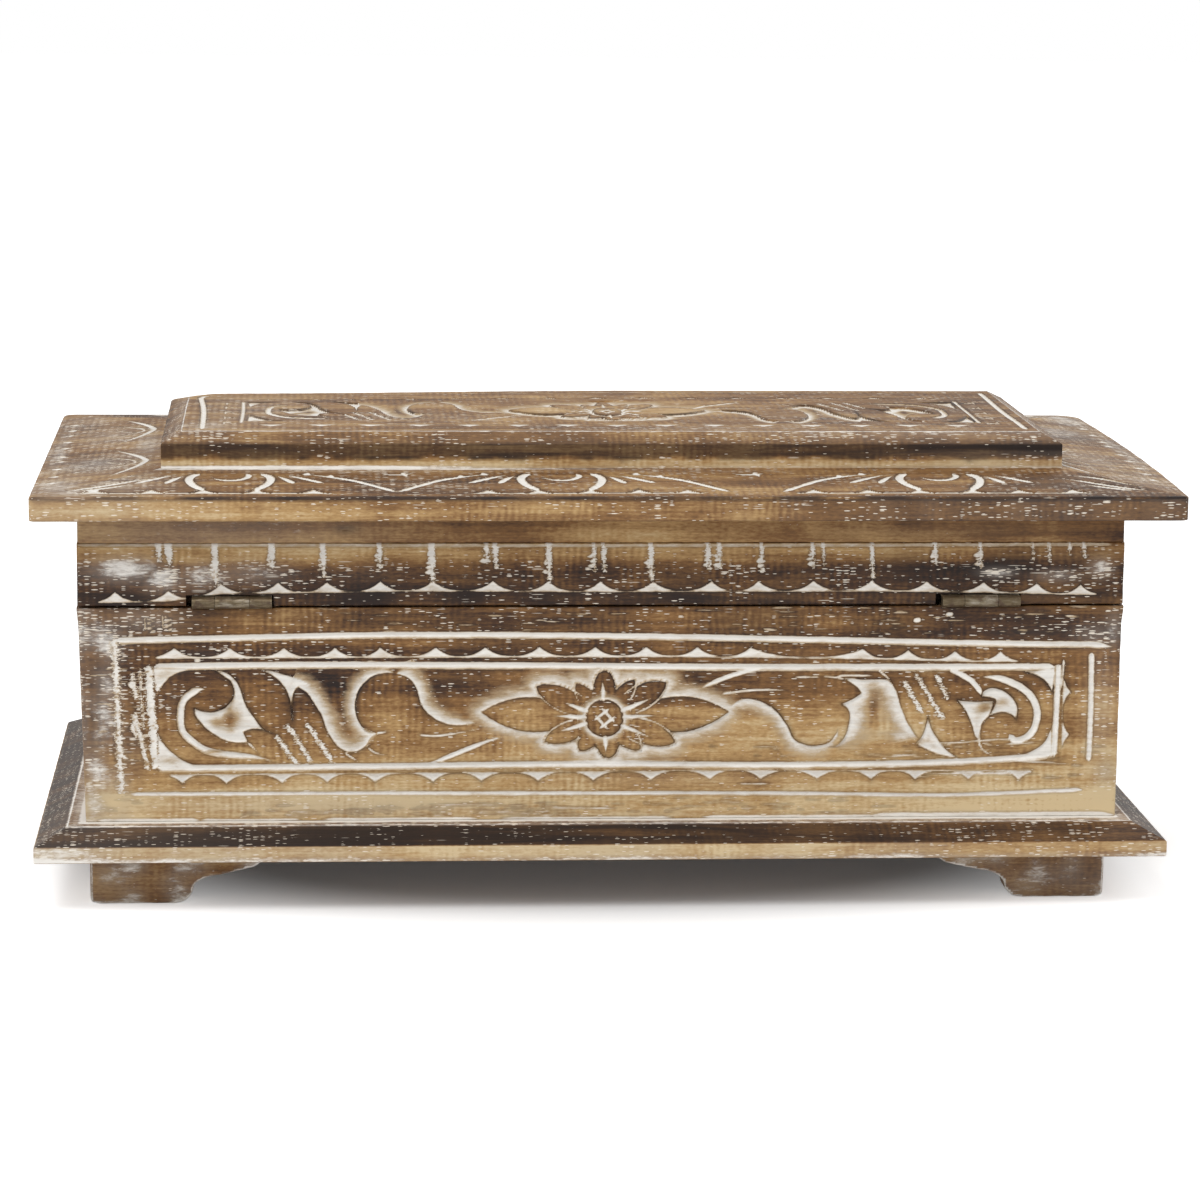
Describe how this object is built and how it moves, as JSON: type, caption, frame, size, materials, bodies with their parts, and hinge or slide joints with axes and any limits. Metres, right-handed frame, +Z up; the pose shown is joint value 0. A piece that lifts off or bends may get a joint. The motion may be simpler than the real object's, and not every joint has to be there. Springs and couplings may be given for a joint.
{
  "type": "carved wooden chest",
  "caption": "Low rectangular chest with a hinged lid, carved and white-washed boards, a raised lid panel, a bevelled base board and bracket feet.",
  "frame": {"origin": "on the surface that the feet stand on, below the middle of the whole chest", "axes": "+X along the chest's length, towards its right end seen from the front; -Y to its front, +Y to its hinged back; +Z up"},
  "size_m": [0.368, 0.2, 0.1503],
  "materials": {
    "carved_wood": "scorched, carved and white-washed, waxed matt",
    "plain_wood": "thin grey-brown wash",
    "hinge_metal": "aged, with paint on it",
    "fixings": "dull"
  },
  "bodies": {
    "case": {"base_board": "carved_wood", "foot_front_left_face": "carved_wood", "foot_front_left_side": "carved_wood", "foot_front_right_face": "carved_wood", "foot_front_right_side": "carved_wood", "foot_back_left_face": "carved_wood", "foot_back_left_side": "carved_wood", "foot_back_right_face": "carved_wood", "foot_back_right_side": "carved_wood", "case_front": "carved_wood", "case_back": "carved_wood", "case_left": "carved_wood", "case_right": "carved_wood", "case_nails": "fixings", "base_nails": "fixings", "case_leaf_screws": "fixings", "hinge_left_case_leaf": "hinge_metal", "hinge_left_pin": "hinge_metal", "hinge_right_case_leaf": "hinge_metal", "hinge_right_pin": "hinge_metal"},
    "lid": {"lid_board": "carved_wood", "raised_panel": "carved_wood", "rim_front": "carved_wood", "strip_front": "plain_wood", "rim_back": "carved_wood", "strip_back": "plain_wood", "rim_left": "carved_wood", "strip_left": "plain_wood", "rim_right": "carved_wood", "strip_right": "plain_wood", "rim_nails": "fixings", "lid_leaf_screws": "fixings", "hinge_left_lid_leaf": "hinge_metal", "hinge_right_lid_leaf": "hinge_metal"}
  },
  "joints": [
    {"name": "lid_hinge", "type": "hinge", "parent": "case", "child": "lid", "pos_m": [0.0016, 0.0852, 0.09935], "axis": [-1, 0, 0], "range_deg": [0, 150]}
  ]
}
